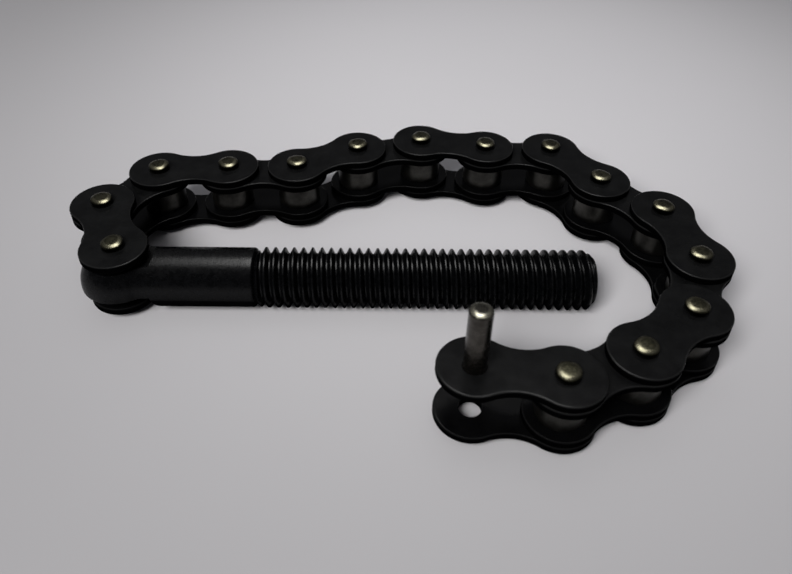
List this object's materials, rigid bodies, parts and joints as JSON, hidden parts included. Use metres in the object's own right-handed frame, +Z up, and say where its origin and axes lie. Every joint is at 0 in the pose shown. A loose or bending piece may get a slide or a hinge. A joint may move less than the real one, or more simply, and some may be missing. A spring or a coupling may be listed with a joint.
{
  "type": "roller chain with eye rod",
  "caption": "Short open roller chain pinned to an eye-ended threaded rod, with a loose draw pin standing in its last link.",
  "frame": {"origin": "on the axis of the first chain pin (through the eye of the rod), in the plane of the bottom ends of the riveted pins, which is the table plane", "axes": "+X along the rod from the eye to its threaded end, +Z up along the pin axes, +Y to the left of the rod seen from above"},
  "size_m": [0.1397, 0.0867, 0.0285],
  "materials": {
    "black_oxide": "satin black oxide",
    "rod_black": "smooth black oxide, semi-gloss",
    "pin_steel": "bare worn steel, peened end",
    "draw_pin_steel": "turned bare steel",
    "roller_steel": "dull oiled steel"
  },
  "bodies": {
    "rod": {"eye_rod": "rod_black"},
    "outer_link_1": {"outer_plate_upper_1": "black_oxide", "outer_plate_lower_1": "black_oxide", "pin_02": "pin_steel"},
    "inner_link_1": {"inner_plate_upper_1": "black_oxide", "inner_plate_lower_1": "black_oxide"},
    "outer_link_2": {"outer_plate_upper_2": "black_oxide", "outer_plate_lower_2": "black_oxide", "pin_03": "pin_steel", "pin_04": "pin_steel"},
    "inner_link_2": {"inner_plate_upper_2": "black_oxide", "inner_plate_lower_2": "black_oxide"},
    "outer_link_3": {"outer_plate_upper_3": "black_oxide", "outer_plate_lower_3": "black_oxide", "pin_05": "pin_steel", "pin_06": "pin_steel"},
    "inner_link_3": {"inner_plate_upper_3": "black_oxide", "inner_plate_lower_3": "black_oxide"},
    "outer_link_4": {"outer_plate_upper_4": "black_oxide", "outer_plate_lower_4": "black_oxide", "pin_07": "pin_steel", "pin_08": "pin_steel"},
    "inner_link_4": {"inner_plate_upper_4": "black_oxide", "inner_plate_lower_4": "black_oxide"},
    "outer_link_5": {"outer_plate_upper_5": "black_oxide", "outer_plate_lower_5": "black_oxide", "pin_09": "pin_steel", "pin_10": "pin_steel"},
    "inner_link_5": {"inner_plate_upper_5": "black_oxide", "inner_plate_lower_5": "black_oxide"},
    "outer_link_6": {"outer_plate_upper_6": "black_oxide", "outer_plate_lower_6": "black_oxide", "pin_11": "pin_steel", "pin_12": "pin_steel"},
    "inner_link_6": {"inner_plate_upper_6": "black_oxide", "inner_plate_lower_6": "black_oxide"},
    "outer_link_7": {"outer_plate_upper_7": "black_oxide", "outer_plate_lower_7": "black_oxide", "pin_13": "pin_steel", "pin_14": "pin_steel"},
    "inner_link_7": {"inner_plate_upper_7": "black_oxide", "inner_plate_lower_7": "black_oxide"},
    "outer_link_8": {"outer_plate_upper_8": "black_oxide", "outer_plate_lower_8": "black_oxide", "pin_15": "pin_steel"},
    "roller_body_01": {"roller_01": "roller_steel"},
    "roller_body_02": {"roller_02": "roller_steel"},
    "roller_body_03": {"roller_03": "roller_steel"},
    "roller_body_04": {"roller_04": "roller_steel"},
    "roller_body_05": {"roller_05": "roller_steel"},
    "roller_body_06": {"roller_06": "roller_steel"},
    "roller_body_07": {"roller_07": "roller_steel"},
    "roller_body_08": {"roller_08": "roller_steel"},
    "roller_body_09": {"roller_09": "roller_steel"},
    "roller_body_10": {"roller_10": "roller_steel"},
    "roller_body_11": {"roller_11": "roller_steel"},
    "roller_body_12": {"roller_12": "roller_steel"},
    "roller_body_13": {"roller_13": "roller_steel"},
    "roller_body_14": {"roller_14": "roller_steel"},
    "draw_pin_body": {"draw_pin": "draw_pin_steel"}
  },
  "joints": [
    {"name": "chain_joint_01", "type": "hinge", "parent": "rod", "child": "outer_link_1", "pos_m": [0, 0, 0], "axis": [0, 0, -1], "range_deg": [-5, 5]},
    {"name": "chain_joint_02", "type": "hinge", "parent": "outer_link_1", "child": "inner_link_1", "pos_m": [-0.00658, 0.01445, 0], "axis": [0, 0, -1], "range_deg": [-6, 4]},
    {"name": "chain_joint_03", "type": "hinge", "parent": "inner_link_1", "child": "outer_link_2", "pos_m": [0.00266, 0.02735, 0], "axis": [0, 0, 1], "range_deg": [-4, 7]},
    {"name": "chain_joint_04", "type": "hinge", "parent": "outer_link_2", "child": "inner_link_2", "pos_m": [0.01847, 0.02879, 0], "axis": [0, 0, -1], "range_deg": [-9, 4]},
    {"name": "chain_joint_05", "type": "hinge", "parent": "inner_link_2", "child": "outer_link_3", "pos_m": [0.03431, 0.02973, 0], "axis": [0, 0, 1], "range_deg": [-5, 16]},
    {"name": "chain_joint_06", "type": "hinge", "parent": "outer_link_3", "child": "inner_link_3", "pos_m": [0.04828, 0.03728, 0], "axis": [0, 0, -1], "range_deg": [-24, 5]},
    {"name": "chain_joint_07", "type": "hinge", "parent": "inner_link_3", "child": "outer_link_4", "pos_m": [0.06374, 0.04088, 0], "axis": [0, 0, 1], "range_deg": [-5, 110]},
    {"name": "chain_joint_08", "type": "hinge", "parent": "outer_link_4", "child": "inner_link_4", "pos_m": [0.07942, 0.0384, 0], "axis": [0, 0, -1], "range_deg": [-110, 6]},
    {"name": "chain_joint_09", "type": "hinge", "parent": "inner_link_4", "child": "outer_link_5", "pos_m": [0.09529, 0.03785, 0], "axis": [0, 0, 1], "range_deg": [-6, 110]},
    {"name": "chain_joint_10", "type": "hinge", "parent": "outer_link_5", "child": "inner_link_5", "pos_m": [0.10477, 0.02512, 0], "axis": [0, 0, -1], "range_deg": [-110, 9]},
    {"name": "chain_joint_11", "type": "hinge", "parent": "inner_link_5", "child": "outer_link_6", "pos_m": [0.11615, 0.01405, 0], "axis": [0, 0, 1], "range_deg": [-15, 110]},
    {"name": "chain_joint_12", "type": "hinge", "parent": "outer_link_6", "child": "inner_link_6", "pos_m": [0.11948, -0.00147, 0], "axis": [0, 0, -1], "range_deg": [-110, 17]},
    {"name": "chain_joint_13", "type": "hinge", "parent": "inner_link_6", "child": "outer_link_7", "pos_m": [0.1139, -0.01633, 0], "axis": [0, 0, -1], "range_deg": [-110, 20]},
    {"name": "chain_joint_14", "type": "hinge", "parent": "outer_link_7", "child": "inner_link_7", "pos_m": [0.10166, -0.02645, 0], "axis": [0, 0, 1], "range_deg": [-31, 110]},
    {"name": "chain_joint_15", "type": "hinge", "parent": "inner_link_7", "child": "outer_link_8", "pos_m": [0.0869, -0.0323, 0], "axis": [0, 0, 1], "range_deg": [-93, 110]},
    {"name": "roller_spin_01", "type": "hinge", "parent": "inner_link_1", "child": "roller_body_01", "pos_m": [-0.00658, 0.01445, 0.00813], "axis": [0, 0, 1], "continuous": true},
    {"name": "roller_spin_02", "type": "hinge", "parent": "inner_link_1", "child": "roller_body_02", "pos_m": [0.00266, 0.02735, 0.00813], "axis": [0, 0, 1], "continuous": true},
    {"name": "roller_spin_03", "type": "hinge", "parent": "inner_link_2", "child": "roller_body_03", "pos_m": [0.01847, 0.02879, 0.00813], "axis": [0, 0, 1], "continuous": true},
    {"name": "roller_spin_04", "type": "hinge", "parent": "inner_link_2", "child": "roller_body_04", "pos_m": [0.03431, 0.02973, 0.00813], "axis": [0, 0, 1], "continuous": true},
    {"name": "roller_spin_05", "type": "hinge", "parent": "inner_link_3", "child": "roller_body_05", "pos_m": [0.04828, 0.03728, 0.00813], "axis": [0, 0, 1], "continuous": true},
    {"name": "roller_spin_06", "type": "hinge", "parent": "inner_link_3", "child": "roller_body_06", "pos_m": [0.06374, 0.04088, 0.00813], "axis": [0, 0, 1], "continuous": true},
    {"name": "roller_spin_07", "type": "hinge", "parent": "inner_link_4", "child": "roller_body_07", "pos_m": [0.07942, 0.0384, 0.00813], "axis": [0, 0, 1], "continuous": true},
    {"name": "roller_spin_08", "type": "hinge", "parent": "inner_link_4", "child": "roller_body_08", "pos_m": [0.09529, 0.03785, 0.00813], "axis": [0, 0, 1], "continuous": true},
    {"name": "roller_spin_09", "type": "hinge", "parent": "inner_link_5", "child": "roller_body_09", "pos_m": [0.10477, 0.02512, 0.00813], "axis": [0, 0, 1], "continuous": true},
    {"name": "roller_spin_10", "type": "hinge", "parent": "inner_link_5", "child": "roller_body_10", "pos_m": [0.11615, 0.01405, 0.00813], "axis": [0, 0, 1], "continuous": true},
    {"name": "roller_spin_11", "type": "hinge", "parent": "inner_link_6", "child": "roller_body_11", "pos_m": [0.11948, -0.00147, 0.00813], "axis": [0, 0, 1], "continuous": true},
    {"name": "roller_spin_12", "type": "hinge", "parent": "inner_link_6", "child": "roller_body_12", "pos_m": [0.1139, -0.01633, 0.00813], "axis": [0, 0, 1], "continuous": true},
    {"name": "roller_spin_13", "type": "hinge", "parent": "inner_link_7", "child": "roller_body_13", "pos_m": [0.10166, -0.02645, 0.00813], "axis": [0, 0, 1], "continuous": true},
    {"name": "roller_spin_14", "type": "hinge", "parent": "inner_link_7", "child": "roller_body_14", "pos_m": [0.0869, -0.0323, 0.00813], "axis": [0, 0, 1], "continuous": true},
    {"name": "draw_pin_slide", "type": "slide", "parent": "outer_link_8", "child": "draw_pin_body", "axis": [0, 0, 1], "range_m": [-0.01225, 0]}
  ]
}
